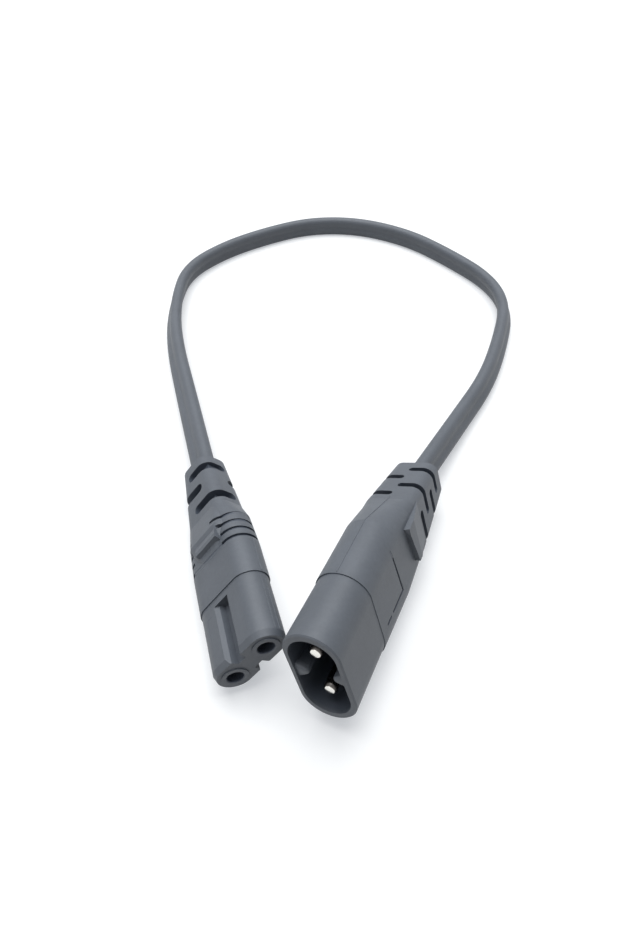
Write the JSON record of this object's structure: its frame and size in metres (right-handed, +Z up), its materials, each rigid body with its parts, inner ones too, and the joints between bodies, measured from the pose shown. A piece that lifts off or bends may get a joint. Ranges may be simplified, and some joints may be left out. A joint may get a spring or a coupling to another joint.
{
  "type": "figure eight power extension lead",
  "caption": "Short mains extension lead: a figure-eight socket with bored face and a figure-eight plug with shrouded pins, joined by a looped flat cable",
  "frame": {"origin": "on the table, at the middle of the box round the two connectors without the cable", "axes": "+Z up from the table, +Y from the connectors' mating faces towards the far side of the cable loop, +X from the socket towards the plug"},
  "size_m": [0.103, 0.182, 0.0222],
  "materials": {
    "soft_pvc": "soft satin PVC",
    "hard_black": "fine satin moulding",
    "premould": "unseen inner moulding",
    "brass": "drawn sheet brass",
    "nickel": "nickel-plated, drawn",
    "copper": "bare stranded copper",
    "core_brown": "extruded insulation",
    "core_blue": "extruded insulation"
  },
  "bodies": {
    "root": {"cable_sheath": "soft_pvc", "socket_front_insert": "hard_black", "socket_inner_mould": "premould", "socket_overmould": "soft_pvc", "socket_contact_1": "brass", "socket_contact_2": "brass", "socket_core_1": "core_brown", "socket_core_2": "core_blue", "socket_strand_1": "copper", "socket_strand_2": "copper", "plug_shroud": "hard_black", "plug_inner_mould": "premould", "plug_overmould": "soft_pvc", "plug_pin_1": "nickel", "plug_pin_2": "nickel", "plug_core_1": "core_brown", "plug_core_2": "core_blue", "plug_strand_1": "copper", "plug_strand_2": "copper"}
  },
  "joints": []
}
